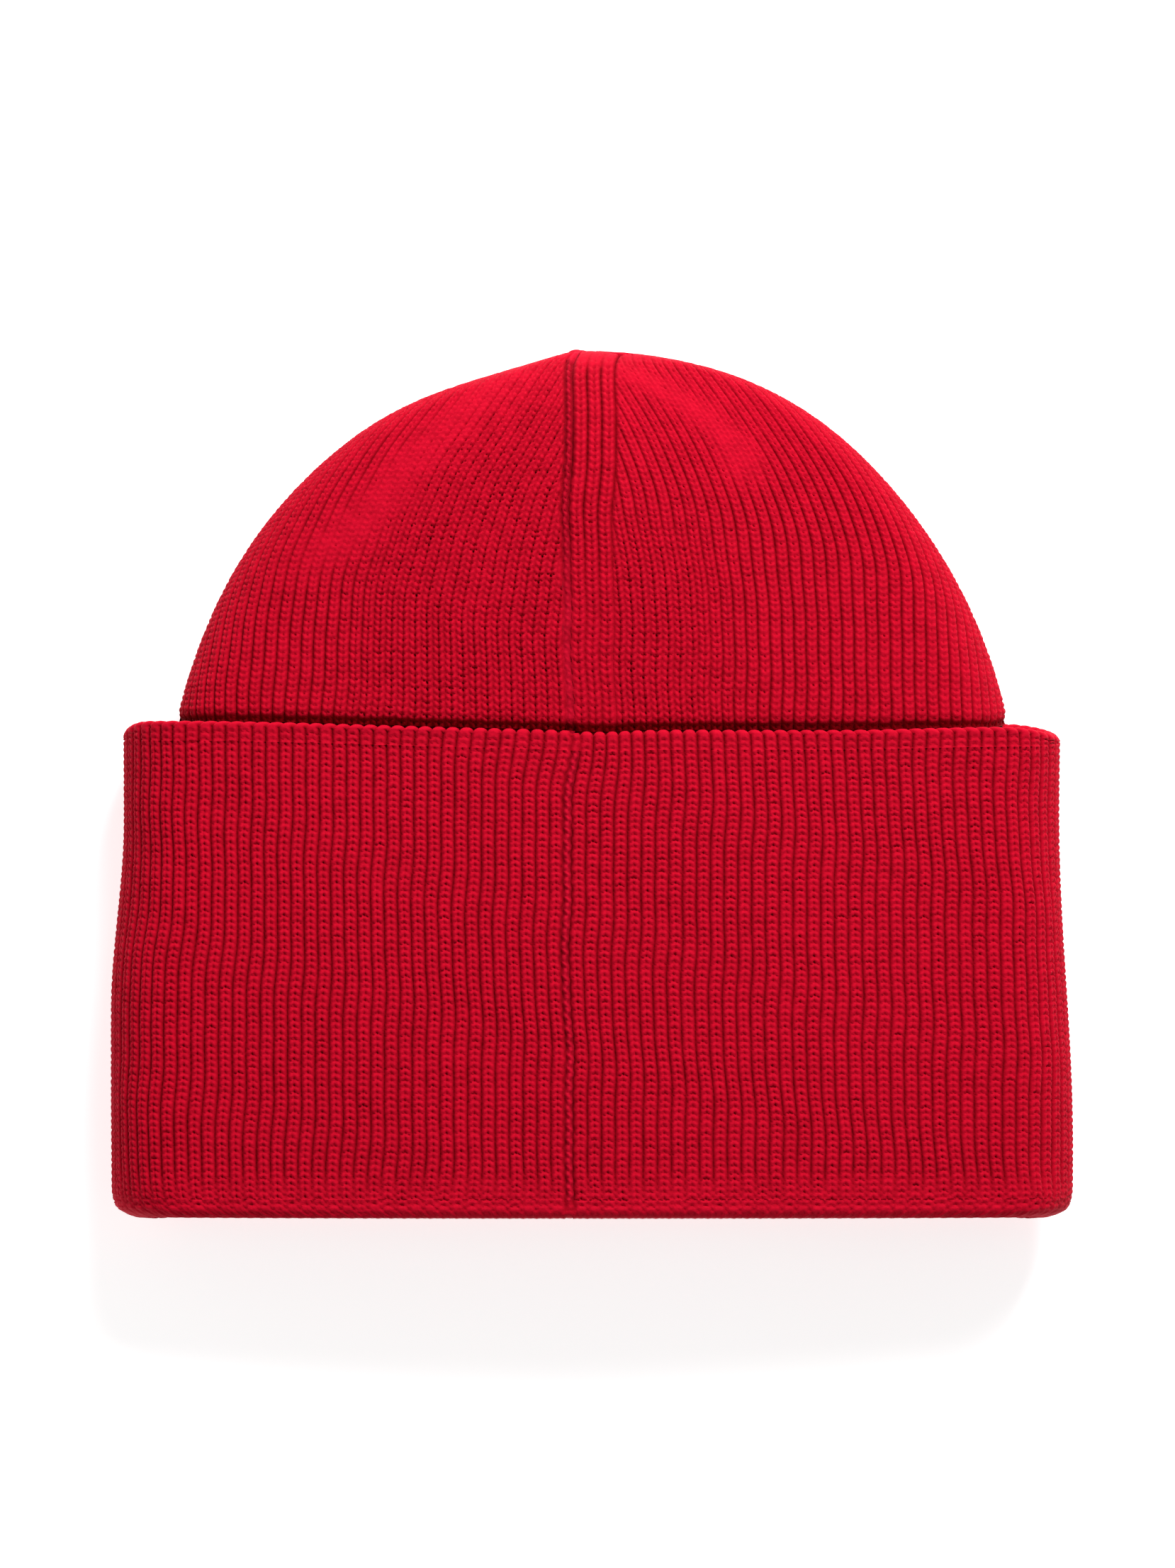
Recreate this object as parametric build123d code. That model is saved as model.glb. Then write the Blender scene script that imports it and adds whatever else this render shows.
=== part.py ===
"""Ribbed knit beanie with a deep turned-up cuff, lying on its front with its back up.

Frame: +X across the hat, +Y from the mouth to the crown's tip, +Z up out of the back face.
The origin is under the middle of the hat, on the surface it lies on. Millimetres.
"""
import math
import os

from build123d import *

os.makedirs("parts", exist_ok=True)

# Driving dimensions
mouth_half_width = 120.0       # cuff laid flat, half its width at the folded edge
cuff_top_half_width = 117.0    # and at the welt
cuff_height = 123.0
hat_thickness = 42.0           # front to back, over the cuff
crown_reach = 92.7             # crown's height above the cuff's top edge
knit_wall = 3.0                # one layer of thick rib
slip_gap = 0.5                 # between the cuff and the band it slides on
fold_height = 5.0              # rolled edge at the mouth
front_drop = 1.2               # the front layer's fold hangs this much lower
fold_rounding = 2.2
welt_height = 5.0
welt_rounding = 1.2
side_roundness = 0.43          # side radius as a share of a section's height

# The crown's outline is the upper part of an ellipse
outline_half_width = 107.5
outline_half_height = 124.6
band_mouth_half_width = 112.5  # the hidden band widens again towards the mouth
crown_underside = 0.6          # the crown's front sags onto the surface
crown_sag_length = 20.0
tip_z = 16.0
dome_power = 2.6               # how full the dome stays before it drops to the tip
crown_stations = (0, 0.22, 0.43, 0.63, 0.78, 0.885, 0.95, 0.985)

# Seam, stitches and label
seam_x = -5.5                  # the centre-back seam lies a little left of the middle
seam_width = 2.2
selvedge_width = 5.0
selvedge_height = 2.0
tip_nub_radius = 2.2
label_left_x = 8.0
label_width = 34.0
label_length = 22.0
label_rise = 14.0              # label's lower edge above the mouth
label_thickness = 0.6
stitch_height = 0.4
stitch_width = 0.8
stitches_per_end = 6

# Stations along the hat
mouth_y = -(cuff_height + crown_reach + tip_nub_radius / 2 - front_drop) / 2
cuff_top_y = mouth_y + cuff_height
tip_y = cuff_top_y + crown_reach
outline_centre_y = tip_y - outline_half_height
band_bottom_y = mouth_y + fold_height + slip_gap
side_z = tip_z                 # the side line that parts back from front
far = 400.0                    # beyond the hat in every direction
through = 2.0                  # how far a cutting form runs past an open end
underside_trim = 0.05          # shaved off the cuff so that it lies on a true plane


def section(y, half_width, bottom, top):
    """Flattened tube: flat underneath, round at the sides, slightly crowned on top."""
    height = top - bottom
    side_radius = side_roundness * height
    reach = half_width - side_radius
    rise = height - side_radius
    top_radius = (reach**2 + rise**2 - side_radius**2) / (2 * (rise - side_radius))
    lean = math.asin(reach / (top_radius - side_radius))
    shoulder_x = top_radius * math.sin(lean)
    shoulder_z = top - top_radius * (1 - math.cos(lean))
    with BuildSketch(Plane.XZ.offset(-y)) as outline:
        with BuildLine():
            Line((-reach, bottom), (reach, bottom))
            ThreePointArc((reach, bottom), (half_width, bottom + side_radius), (shoulder_x, shoulder_z))
            ThreePointArc((shoulder_x, shoulder_z), (0, top), (-shoulder_x, shoulder_z))
            ThreePointArc((-shoulder_x, shoulder_z), (-half_width, bottom + side_radius), (-reach, bottom))
        make_face()
    return outline.sketch


def space(x=(-far, far), y=(-far, far), z=(-far, far)):
    """Box-shaped region that picks a piece out of a shell."""
    spans = [high - low for low, high in (x, y, z)]
    middle = [(low + high) / 2 for low, high in (x, y, z)]
    return Pos(*middle) * Box(*spans)


def outline_width(y, inset):
    """Half width of the crown's outline at a station along the hat."""
    rise = (y - outline_centre_y) / (outline_half_height - inset)
    return (outline_half_width - inset) * math.sqrt(1 - rise**2)


def band_form(inset, bottom_y=band_bottom_y, top_y=cuff_top_y):
    """Solid inside one skin of the straight band."""
    low = knit_wall + slip_gap + inset
    high = hat_thickness - low
    stations = [(bottom_y, band_mouth_half_width - inset)]
    stations += [(y, outline_width(min(y, cuff_top_y), inset)) for y in (outline_centre_y, top_y)]
    return loft([section(y, half_width, low, high) for y, half_width in stations], ruled=True)


def crown_form(inset):
    """Solid inside one skin of the domed crown."""
    reach = crown_reach - inset
    sections = []
    for share in crown_stations:
        fullness = math.sqrt(1 - share**dome_power)
        sag = min(share * crown_reach / crown_sag_length, 1)
        rest_z = (knit_wall + slip_gap) * (1 - sag) + crown_underside * sag + inset
        peak_z = hat_thickness - knit_wall - slip_gap - inset
        bottom = tip_z - (tip_z - rest_z) * fullness
        top = tip_z + (peak_z - tip_z) * fullness
        y = cuff_top_y + reach * share
        sections.append(section(y, outline_width(y, inset), bottom, top))
    return loft(sections, ruled=True)


def cuff_form(inset, bottom_y=mouth_y, top_y=cuff_top_y):
    """Solid inside one skin of the turned-up cuff, which narrows towards its top."""
    slope = (cuff_top_half_width - mouth_half_width) / cuff_height
    sections = []
    for y in (bottom_y, top_y):
        half_width = mouth_half_width + slope * (y - mouth_y) - inset
        sections.append(section(y, half_width, inset - underside_trim, hat_thickness - inset))
    return loft(sections, ruled=True)


def lying_flat(shape):
    return shape & space(z=(0, far))


def back_and_front(name, shell):
    """Part a ring of knit at the side line and at the centre-back seam."""
    half_seam = seam_width / 2
    back = (side_z, far)
    return {
        f"{name}_back_left": shell & space(x=(-far, seam_x - half_seam), z=back),
        f"{name}_back_right": shell & space(x=(seam_x + half_seam, far), z=back),
        f"{name}_seam_yarn": shell & space(x=(seam_x - half_seam, seam_x + half_seam), z=back),
        f"{name}_front": shell & space(z=(-far, side_z)),
    }


def make_crown():
    return back_and_front("crown", crown_form(0) - crown_form(knit_wall))


def band_hollow(inset=knit_wall):
    """The band's inside, run past both ends so that it cuts cleanly."""
    return band_form(inset, band_bottom_y - through, cuff_top_y + through)


def make_band():
    return back_and_front("band", band_form(0) - band_hollow())


def make_cuff():
    wall_bottom = mouth_y + fold_height
    wall_top = cuff_top_y - welt_height
    hollow = cuff_form(knit_wall, wall_bottom - through, cuff_top_y + through)
    pieces = back_and_front("cuff", lying_flat(cuff_form(0, wall_bottom, wall_top) - hollow))
    welt = rounded_end(cuff_form(0, wall_top, cuff_top_y), 1, welt_rounding)
    pieces["cuff_top_welt"] = lying_flat(welt - hollow)
    return pieces


def rounded_end(form, direction, radius):
    """Round the outer edge of a form's end face, the upper (1) or the lower (-1) one."""
    end = form.faces().sort_by(Axis.Y)[-1 if direction > 0 else 0]
    return fillet(end.edges(), radius)


def make_fold():
    """Rolled lower edge, from the cuff's outer skin round to the inside of the band."""
    top_y = mouth_y + fold_height
    roll = rounded_end(cuff_form(0, mouth_y - front_drop, top_y), -1, fold_rounding)
    back_roll = rounded_end(cuff_form(0, mouth_y, top_y), -1, fold_rounding)
    ring = (roll & space(z=(-far, side_z))) + (back_roll & space(z=(side_z, far)))
    return lying_flat(ring - band_form(knit_wall, mouth_y - front_drop - through, cuff_top_y))


def make_selvedges():
    """Ridge of two joined edges on the inside, all along the seam."""
    strip_x = (seam_x - selvedge_width / 2, seam_x + selvedge_width / 2)
    inner = knit_wall + selvedge_height
    band = band_hollow() - band_hollow(inner)
    crown = crown_form(knit_wall) - crown_form(inner)
    return {
        "band_selvedge": band & space(x=strip_x, y=(band_bottom_y, cuff_top_y), z=(side_z, far)),
        "crown_selvedge": crown & space(x=strip_x, z=(side_z, far)),
    }


def make_label():
    """Blank woven label, sewn flat to the inside of the back at its two short ends."""
    left, right = label_left_x, label_left_x + label_width
    bottom = mouth_y + label_rise
    back_skin = knit_wall + label_thickness
    label = band_hollow() - band_hollow(back_skin)
    thread = band_hollow(back_skin) - band_hollow(back_skin + stitch_height)
    pitch = label_length / stitches_per_end
    stitches = []
    for end_x in (left + stitch_width, right - 2 * stitch_width):
        for index in range(stitches_per_end):
            low = bottom + pitch * (index + 0.2)
            spot = space(x=(end_x, end_x + stitch_width), y=(low, low + 0.6 * pitch), z=(side_z, far))
            stitches.append(thread & spot)
    return {
        "care_label": label & space(x=(left, right), y=(bottom, bottom + label_length), z=(side_z, far)),
        "care_label_stitches": Compound(children=stitches),
    }


def make_tip_stitch():
    """Small gathered nub that closes the crown at the top of the seam."""
    nub = Pos(seam_x + seam_width, tip_y - tip_nub_radius / 2, tip_z) * Sphere(tip_nub_radius)
    return nub - crown_form(0)


pieces = {}
pieces.update(make_crown())
pieces.update(make_band())
pieces.update(make_cuff())
pieces["cuff_fold"] = make_fold()
pieces.update(make_selvedges())
pieces.update(make_label())
pieces["crown_tip_stitch"] = make_tip_stitch()

for node, shape in pieces.items():
    export_step(shape, f"parts/{node}.step")
    box = shape.bounding_box()
    print(f"{node}: {box.size.X:.1f} x {box.size.Y:.1f} x {box.size.Z:.1f} mm")
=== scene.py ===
# Ribbed beanie lying on its front with its back up. The knit is modelled rib by rib and stitch by stitch.
import math
import bpy
import numpy as np
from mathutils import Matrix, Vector


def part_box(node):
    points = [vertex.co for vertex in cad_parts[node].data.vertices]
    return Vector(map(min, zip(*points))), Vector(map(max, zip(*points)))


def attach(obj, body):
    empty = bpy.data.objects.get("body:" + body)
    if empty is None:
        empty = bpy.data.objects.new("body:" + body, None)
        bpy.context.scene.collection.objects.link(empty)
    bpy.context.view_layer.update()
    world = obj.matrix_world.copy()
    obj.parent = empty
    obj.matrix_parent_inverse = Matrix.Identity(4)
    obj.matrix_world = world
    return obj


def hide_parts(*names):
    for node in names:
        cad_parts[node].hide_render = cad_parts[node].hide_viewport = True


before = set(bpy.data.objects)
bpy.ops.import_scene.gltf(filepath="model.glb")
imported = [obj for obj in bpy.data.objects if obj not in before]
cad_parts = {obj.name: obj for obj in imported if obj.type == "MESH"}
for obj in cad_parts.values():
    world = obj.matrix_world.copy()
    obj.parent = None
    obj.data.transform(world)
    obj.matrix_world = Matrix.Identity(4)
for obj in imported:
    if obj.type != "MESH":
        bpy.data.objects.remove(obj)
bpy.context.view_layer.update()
mm = 0.001                       # sizes below are in millimetres


def boxOf(node):
    low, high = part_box(node)
    return [v / mm for v in low], [v / mm for v in high]


# the frame gives the outer sizes
foldLow, foldHigh = boxOf("cuff_fold")
weltHigh = boxOf("cuff_top_welt")[1]
bandLow, bandHigh = boxOf("band_front")
nubLow, nubHigh = boxOf("crown_tip_stitch")
labelLow, labelHigh = boxOf("care_label")
hat = {
    "ribs": 150,                 # knit columns all the way round
    "ribPitch": 3.2,             # their usual width on the cuff
    "wall": 3.0,
    "roundness": 0.43,           # side radius as a share of the section's height
    "seamX": -5.9,
    "seamHalf": 1.1,
    "borderWidth": 10.5,         # straight columns right of the crown's seam
    "frontCentre": 5.5,          # where the front's columns meet
    "frontDrop": 1.2,            # the front layer's fold shows this much below the back's
    "foldHeight": 5.0,
    "weltHeight": 5.0,
    "lift": 0.08,
    "knotStandsOut": 1.1,
    "skinDepth": 0.8,            # how deep into a wall its relief fades out
}
mouthY = foldLow[1] + hat["frontDrop"]
cuffTopY = weltHigh[1]
crownReach = nubHigh[1] - hat["knotStandsOut"] - cuffTopY
wallBottom, wallTop = mouthY + hat["foldHeight"], cuffTopY - hat["weltHeight"]
cuff = {
    "mouthHalf": foldHigh[0],
    "topHalf": weltHigh[0] - 0.2,
    "top": weltHigh[2],
    "course": 1.62,              # height of one row of stitches
    "leftFlare": (0.42, 0.80),   # where each side narrows, as shares of the cuff's height
    "rightFlare": (0.12, 0.85),
    "cornerLength": 7.5,         # rounding of the lower corners, along and across
    "cornerWidth": 4.4,
}
band = {
    "mouthHalf": bandHigh[0],
    "bottomY": bandLow[1],
    "bottom": bandLow[2],
    "top": cuff["top"] - bandLow[2],
    "course": 1.6,
}
crown = {
    "outlineHalfWidth": 107.5,
    "outlineHalfHeight": 124.6,
    "underside": 0.6,
    "sagLength": 20.0,           # the front comes down to the floor over this length
    "tipZ": 16.0,
    "domePower": 2.6,
    "course": 1.62,
    "pitch": 3.0,                # width of one rib where the crown leaves the cuff
    # change at the tip and how far down it fades: each side's width, the middle and the seam
    "leftPinch": (0.55, 5.5),
    "rightSwell": (0.12, 22.0),
    "tipShift": (-3.0, 1.5),
    "seamDrift": (2.5, 1.5),
}


def smooth(low, high, value):
    t = np.clip((value - low) / (high - low), 0.0, 1.0)
    return t * t * (3 - 2 * t)


def scatter(a, b=0.0):
    value = np.sin(a * 12.9898 + b * 78.233) * 43758.5453
    return value - np.floor(value)


def fading(sizeAndLength, distance):
    return sizeAndLength[0] * math.exp(-distance / sizeAndLength[1])


def halfSection(half, bottom, top, steps=36):
    # half of the flattened tube: from the back's middle to the side line, and on to the front's middle
    height = top - bottom
    side = min(hat["roundness"] * height, 0.6 * half)
    reach, rise = half - side, height - side
    big = (reach**2 + rise**2 - side**2) / (2 * (rise - side))
    lean = math.asin(min(1.0, reach / max(big - side, 1e-6)))
    turn = np.linspace(0, lean, steps)
    back = np.stack([big * np.sin(turn), top - big * (1 - np.cos(turn))], 1)

    def sideArc(angles):
        return np.stack([reach + side * np.sin(angles), bottom + side * (1 + np.cos(angles))], 1)

    back = np.concatenate([back, sideArc(np.linspace(lean, math.pi / 2, steps)[1:])])
    front = sideArc(np.linspace(math.pi / 2, math.pi, steps))
    return back, np.concatenate([front, [[0.0, bottom]]])


def runOf(line):
    return np.concatenate([[0.0], np.cumsum(np.linalg.norm(np.diff(line, axis=0), axis=1))])


def ringRow(skin, perPart):
    # once round in six parts: seam strip, back left, front left, front right, back right, border
    halfLeft, halfRight, bottom, top, shift, seamX = skin
    backLeft, frontLeft = halfSection(halfLeft, bottom, top)
    backRight, frontRight = halfSection(halfRight, bottom, top)
    flip = np.array([-1.0, 1.0])
    loop = np.concatenate([backLeft * flip, frontLeft[1:] * flip, frontRight[::-1][1:], backRight[::-1][1:]])
    run = runOf(loop)
    total = run[-1]
    sideAt, bottomAt = len(backLeft) - 1, len(backLeft) + len(frontLeft) - 2
    seamLeft = max(seamX - shift - hat["seamHalf"], -0.5 * halfLeft)
    seamRight = max(seamX - shift + hat["seamHalf"], -0.3 * halfLeft)
    border = min(seamX - shift + hat["seamHalf"] + hat["borderWidth"], 0.6 * halfRight)
    # the seam's strip crosses the middle of the back close to the tip
    backRun = run[:sideAt + 1]
    start = np.interp(-seamRight, backLeft[:, 0], backRun) if seamRight < 0 else -seamRight
    marks = [
        start,
        np.interp(-seamLeft, backLeft[:, 0], backRun),
        run[sideAt],
        run[bottomAt] + min(hat["frontCentre"], 0.3 * halfRight),
        run[bottomAt + len(frontRight) - 1],
        total - np.interp(border, backRight[:, 0], runOf(backRight)),
        total + start,
    ]
    parts = [np.linspace(marks[k], marks[k + 1], perPart, endpoint=False) for k in range(6)]
    lengths = np.concatenate(parts + [[marks[6]]]) % total
    return np.interp(lengths, run, loop[:, 0]) + shift, np.interp(lengths, run, loop[:, 1]), np.diff(marks)


def tableOf(skin, path, perPart=48):
    # points and outward normals of every row of a closed path, and how long each part of each row is
    rows = [ringRow(skin(y, inset), perPart) for y, inset in path]
    points = np.stack([np.stack([x, np.full_like(x, y), z], 1) for (x, z, arcs), (y, inset) in zip(rows, path)])
    arcs = np.stack([r[2] for r in rows])
    around = np.gradient(points, axis=1)
    around[:, 0] = around[:, -1] = points[:, 1] - points[:, 0] + points[:, -1] - points[:, -2]
    # a corner's row takes the direction of the skin it belongs to, not of the rim beside it
    count = len(path) - 1
    here = np.arange(len(path)) % count
    before, after = (here - 1) % count, (here + 1) % count
    same = path[before, 1] == path[here, 1], path[after, 1] == path[here, 1]
    start = np.where(same[1] & ~same[0], here, before)
    end = np.where(same[0] & ~same[1], here, after)
    normals = np.cross(points[end] - points[start], around)
    normals /= np.maximum(np.linalg.norm(normals, axis=-1, keepdims=True), 1e-9)
    return points, normals, arcs


def lookUp(table, where):
    # where holds, for every row, places round the ring from 0 to 6
    size = (table.shape[1] - 1) / 6
    steps = np.arange(table.shape[1])
    return np.stack([
        np.stack([np.interp(where[k] * size, steps, table[k, :, axis]) for axis in range(3)], -1)
        for k in range(len(table))])


# a skin gives, for a height and an inset: left and right half width, bottom, top, shift and the seam's place
def cuffSkin(y, inset=0.0):
    t = (y - mouthY) / (cuffTopY - mouthY)
    low = min(max((mouthY + cuff["cornerLength"] - y) / cuff["cornerLength"], 0.0), 1.0)
    corner = cuff["cornerWidth"] * (1 - math.sqrt(1 - low * low))
    halves = [
        cuff["mouthHalf"] + (cuff["topHalf"] - cuff["mouthHalf"]) * smooth(start, end, t) - inset - corner
        for start, end in (cuff["leftFlare"], cuff["rightFlare"])]
    return halves[0], halves[1], hat["lift"] + inset, cuff["top"] - inset, 0.0, hat["seamX"]


def outlineHalf(h):
    rise = (h + crown["outlineHalfHeight"] - crownReach) / crown["outlineHalfHeight"]
    return crown["outlineHalfWidth"] * math.sqrt(max(0.0, 1 - rise * rise))


def bandSkin(y, inset=0.0):
    widest = cuffTopY + crownReach - crown["outlineHalfHeight"]
    if y > widest:
        half = outlineHalf(y - cuffTopY)
    else:
        t = (widest - y) / (widest - band["bottomY"])
        half = outlineHalf(widest - cuffTopY) * (1 - t) + band["mouthHalf"] * t
    return half - inset, half - inset, band["bottom"] + inset, band["top"] - inset, 0.0, hat["seamX"]


def crownSkin(y, inset=0.0):
    h = min((y - cuffTopY) * crownReach / (crownReach - inset), crownReach - 0.02)
    left = crownReach - h
    half = outlineHalf(h)
    full = math.sqrt(1 - (h / crownReach) ** crown["domePower"])
    sag = min(h / crown["sagLength"], 1.0)
    rest = band["bottom"] * (1 - sag) + crown["underside"] * sag
    halfLeft = half * (1 - fading(crown["leftPinch"], left))
    halfRight = half * (1 + fading(crown["rightSwell"], left))
    bottom = crown["tipZ"] - (crown["tipZ"] - rest) * full
    top = crown["tipZ"] + (band["top"] - crown["tipZ"]) * full
    thin = min(inset, 0.3 * (top - bottom))
    halfLeft -= min(inset, 0.3 * halfLeft)
    halfRight -= min(inset, 0.3 * halfRight)
    shift, seamX = fading(crown["tipShift"], left), hat["seamX"] + fading(crown["seamDrift"], left)
    return halfLeft, halfRight, bottom + thin, top - thin, shift, seamX


rib = {
    "depth": 1.25,               # from a rib's crest to the purl groove beside it
    "width": 0.90,               # share of the pitch that the raised rib takes
    "openWidth": 0.14,           # how much of that share an opened rib loses
    "bead": 0.80,                # how far a stitch's legs stand out of the rib
    "lean": 0.55,                # rows that a leg climbs from the rib's middle to its edge
    "crease": 0.36,              # line between the two legs
    "hole": 0.14,                # pit under each stitch
    "rung": 0.30,                # small bars at the bottom of the groove
    "openRung": 1.15,            # the same bars where the ribs are stretched apart
    "uneven": 0.45,
    "rowShift": 0.3,             # how far neighbouring columns are out of step, in rows
}


def ribCrest(ribs, opening=0.0):
    edge = np.abs(2 * (ribs - np.floor(ribs)) - 1)
    return np.sqrt(np.clip(1 - (edge / (rib["width"] - rib["openWidth"] * opening)) ** 2.8, 0, 1))


def beadOf(phase):
    gap = 2 * np.abs(phase - np.round(phase))
    return np.sqrt(np.clip(1 - gap ** 2.2, 0, 1))


def knitHeight(ribs, courses, ribDepth=1.0, stitch=1.0, opening=0.0, lean=1.0, cleft=1.0):
    # height of the yarn over the skin: zero at the crests and negative in the grooves
    number = np.floor(ribs)
    row = courses + rib["rowShift"] * (scatter(number, 3.0) - 0.5) + 0.07 * np.sin(courses * 1.3 + number * 2.0)
    across = 2 * (ribs - number) - 1
    edge = np.abs(across)
    crest = ribCrest(ribs, opening)
    phase = row - lean * rib["lean"] * edge
    bead = beadOf(phase)
    single = 1 + rib["uneven"] * (scatter(number, np.round(phase)) - 0.5)
    height = -rib["depth"] * ribDepth * (1 - crest)
    height = height + stitch * rib["bead"] * (bead - 1) * single * (0.3 + 0.7 * crest)
    middle = np.exp(-(across / (0.14 + 0.04 * cleft)) ** 2) * cleft
    height = height - stitch * middle * (rib["crease"] + rib["hole"] * (1 - bead)) * crest
    purl = np.exp(-((1 - edge) / 0.24) ** 2) * (0.5 + 0.5 * np.cos(2 * math.pi * (row + 0.5 - 0.4 * lean)))
    return height + purl * ribDepth * (rib["rung"] * stitch + rib["openRung"] * opening)


# how soft cloth lies when it is laid down by hand
lie = {
    # waves that the ribs follow: size, length along y, length along x and start
    "drift": ((0.50, 15.0, 33.0, 1.0), (0.28, 6.1, 17.0, 0.0), (0.12, 2.9, 9.0, 0.0)),
    "zigzag": 0.22,              # of the stitches beside the seam
    "leftEdge": -0.5,            # how far the cuff's top edge hangs down at its left corner
    "middleEdge": 2.3,           # how much more it hangs from the middle on
    "rightEdge": 0.8,            # and how much of that it loses at the right corner
    "seamEdge": 0.5,             # small dip of the edge at the seam
    "crease": 1.6,               # crease that the edge leaves in the cloth under it
    "seamLean": 1.4,             # bend of the cuff's ribs beside the seam near the top edge
}


def clothWave(points):
    # slow unevenness of the surface, none where it rests on the floor
    x, y, z = points[..., 0], points[..., 1], points[..., 2]
    wave = 0.22 * np.sin(x / 17.0 + 0.6 * np.sin(y / 23.0) + 0.8) + 0.18 * np.sin(y / 19.0 - x / 41.0 + 2.1)
    return (wave + 0.14 * np.sin(x / 8.3 + y / 29.0 + 4.0)) * smooth(6.0, 16.0, z)


def edgeSag(points, onCuff=True):
    x, y, z = points[..., 0], points[..., 1], points[..., 2]
    sag = lie["leftEdge"] + lie["middleEdge"] * smooth(-105.0, 5.0, x)
    sag = sag - lie["rightEdge"] * smooth(60.0, 105.0, x) + lie["seamEdge"] * np.exp(-((x - 1.0) / 9.0) ** 2)
    reach = smooth(cuffTopY - 48.0, cuffTopY, y) if onCuff else np.exp(-((y - cuffTopY) / 16.0) ** 2)
    return sag * smooth(14.0, 30.0, z) * reach


def wander(points):
    # the ribs are never quite straight, least of all beside the seam
    x, y, z = points[..., 0], points[..., 1], points[..., 2]
    drift = sum(size * np.sin(y / along + x / across + start) for size, along, across, start in lie["drift"])
    zigzag = np.sin(y * 1.9 + 0.7 * np.sin(y / 5.0)) * np.exp(-((x - hat["seamX"]) / 2.0) ** 2)
    return (drift + lie["zigzag"] * zigzag) * smooth(22.0, 36.0, z)


def seamLean(points):
    x, y, z = points[..., 0], points[..., 1], points[..., 2]
    near = np.exp(-((x - hat["seamX"] + 2.0) / 15.0) ** 2)
    return lie["seamLean"] * near * smooth(cuffTopY - 17.0, cuffTopY, y) * (z > 25.0)


def besideSeam(points, width):
    return 0.5 * np.exp(-((points[..., 0] - hat["seamX"]) / width) ** 2)


def toValley(height, distance, bottom):
    # two pieces meet at one height along a seam, whatever their ribs do there
    return height + (bottom - height) * np.exp(-(distance / 0.45) ** 2)


def tuck(h):
    return lie["crease"] * np.exp(-(h / 1.7) ** 2)


def closeShell(softAngle):
    # joins the grid's long edges, closes its two ends and turns its faces outward
    bpy.ops.object.mode_set(mode="EDIT")
    bpy.ops.mesh.select_all(action="SELECT")
    bpy.ops.mesh.remove_doubles(threshold=3e-6)
    bpy.ops.mesh.fill_holes(sides=0)
    bpy.ops.mesh.select_all(action="SELECT")
    bpy.ops.mesh.normals_make_consistent(inside=False)
    bpy.ops.object.mode_set(mode="OBJECT")
    bpy.ops.object.shade_smooth_by_angle(angle=math.radians(softAngle))


def newGrid(name, columns, rows, size):
    bpy.ops.object.select_all(action="DESELECT")
    bpy.ops.mesh.primitive_grid_add(x_subdivisions=columns, y_subdivisions=rows, size=size)
    piece = bpy.context.object
    piece.name = piece.data.name = name
    return piece


made = {}


def knitPiece(name, points, ribs, courses, height, plain=None):
    # a grid primitive whose vertices are moved on to the knit, then closed into one solid layer
    rows, columns = points.shape[:2]
    piece = newGrid(name, columns - 1, rows - 1, 2)
    mesh = piece.data
    flat = np.empty(len(mesh.vertices) * 3)
    mesh.vertices.foreach_get("co", flat)
    flat = flat.reshape(-1, 3)
    column = np.rint((flat[:, 0] + 1) / 2 * (columns - 1)).astype(int)
    row = np.rint((flat[:, 1] + 1) / 2 * (rows - 1)).astype(int)
    mesh.vertices.foreach_set("co", (points[row, column] * mm).ravel())
    # yarnHeight also sets the colour, painted shade where the yarn lies low; calmCloth lifts the painted groove
    # shade
    data = {"ribCount": ribs, "courseCount": courses, "yarnHeight": height}
    if plain is not None:
        data["calmCloth"] = plain
    for key, values in data.items():
        layer = mesh.attributes.new(key, "FLOAT", "POINT")
        layer.data.foreach_set("value", np.ascontiguousarray(values[row, column], dtype=np.float32))
    mesh.update()
    closeShell(80)
    print(f"{name}: {len(mesh.polygons)} faces")
    made[name] = piece


def rowPath(*runs):
    # rows that follow one another round a wall's cross-section; a run is (y0, inset0, y1, inset1, spacing)
    rows = []
    for y0, inset0, y1, inset1, spacing in runs:
        count = max(1, round(math.hypot(y1 - y0, inset1 - inset0) / spacing))
        rows += [(y0 + (y1 - y0) * k / count, inset0 + (inset1 - inset0) * k / count) for k in range(count)]
    return np.array(rows + rows[:1])


def wallPath(bottomY, topY, spacing, innerSpacing):
    wall = hat["wall"]
    return rowPath((bottomY, 0, topY, 0, spacing), (topY, 0, topY, wall, 1.0),
                   (topY, wall, bottomY, wall, innerSpacing), (bottomY, wall, bottomY, 0, 1.0))


def settle(points, normals, path, height, backHeight=0.0):
    # moves the outer skin by the knit's height, and both skins by the cloth's own waves
    depth = hat["skinDepth"]
    outer = np.clip(1 - path[:, 1] / depth, 0, 1)[:, None]
    inner = np.clip((path[:, 1] - hat["wall"] + depth) / depth, 0, 1)[:, None]
    move = (height + clothWave(points)) * outer + (backHeight - clothWave(points)) * inner
    moved = points + normals * move[..., None]
    moved[..., 0] += wander(points)
    moved[-1] = moved[0]
    return moved


def coursesOf(path, course, shape):
    return np.broadcast_to((path[:, :1] - mouthY) / course, shape)


# walls of the cuff and of the band inside it
wallLook = {
    "fineRow": 0.405,
    "coarseRow": 0.9,
    "coarseFrom": 0.8,           # row spacing from which a wall gets fewer columns
    "fineColumns": 8,            # to each rib
    "coarseColumns": 6,
    "bandSeamRow": 0.7,
    "backRow": 5.0,              # row spacing on the inner face
    "openFrom": (2.0, 13.0),     # the ribs are stretched apart down to the fold, over these heights
    "cuffDepth": 0.92,
    "cuffValley": -0.95,
    "bandDepth": 0.85,
    "bandStitch": 0.7,
}
fine = wallLook["fineRow"]
sides = {"BackLeft": (0, 1), "BackRight": (3, 5), "Front": (1, 3)}


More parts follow.
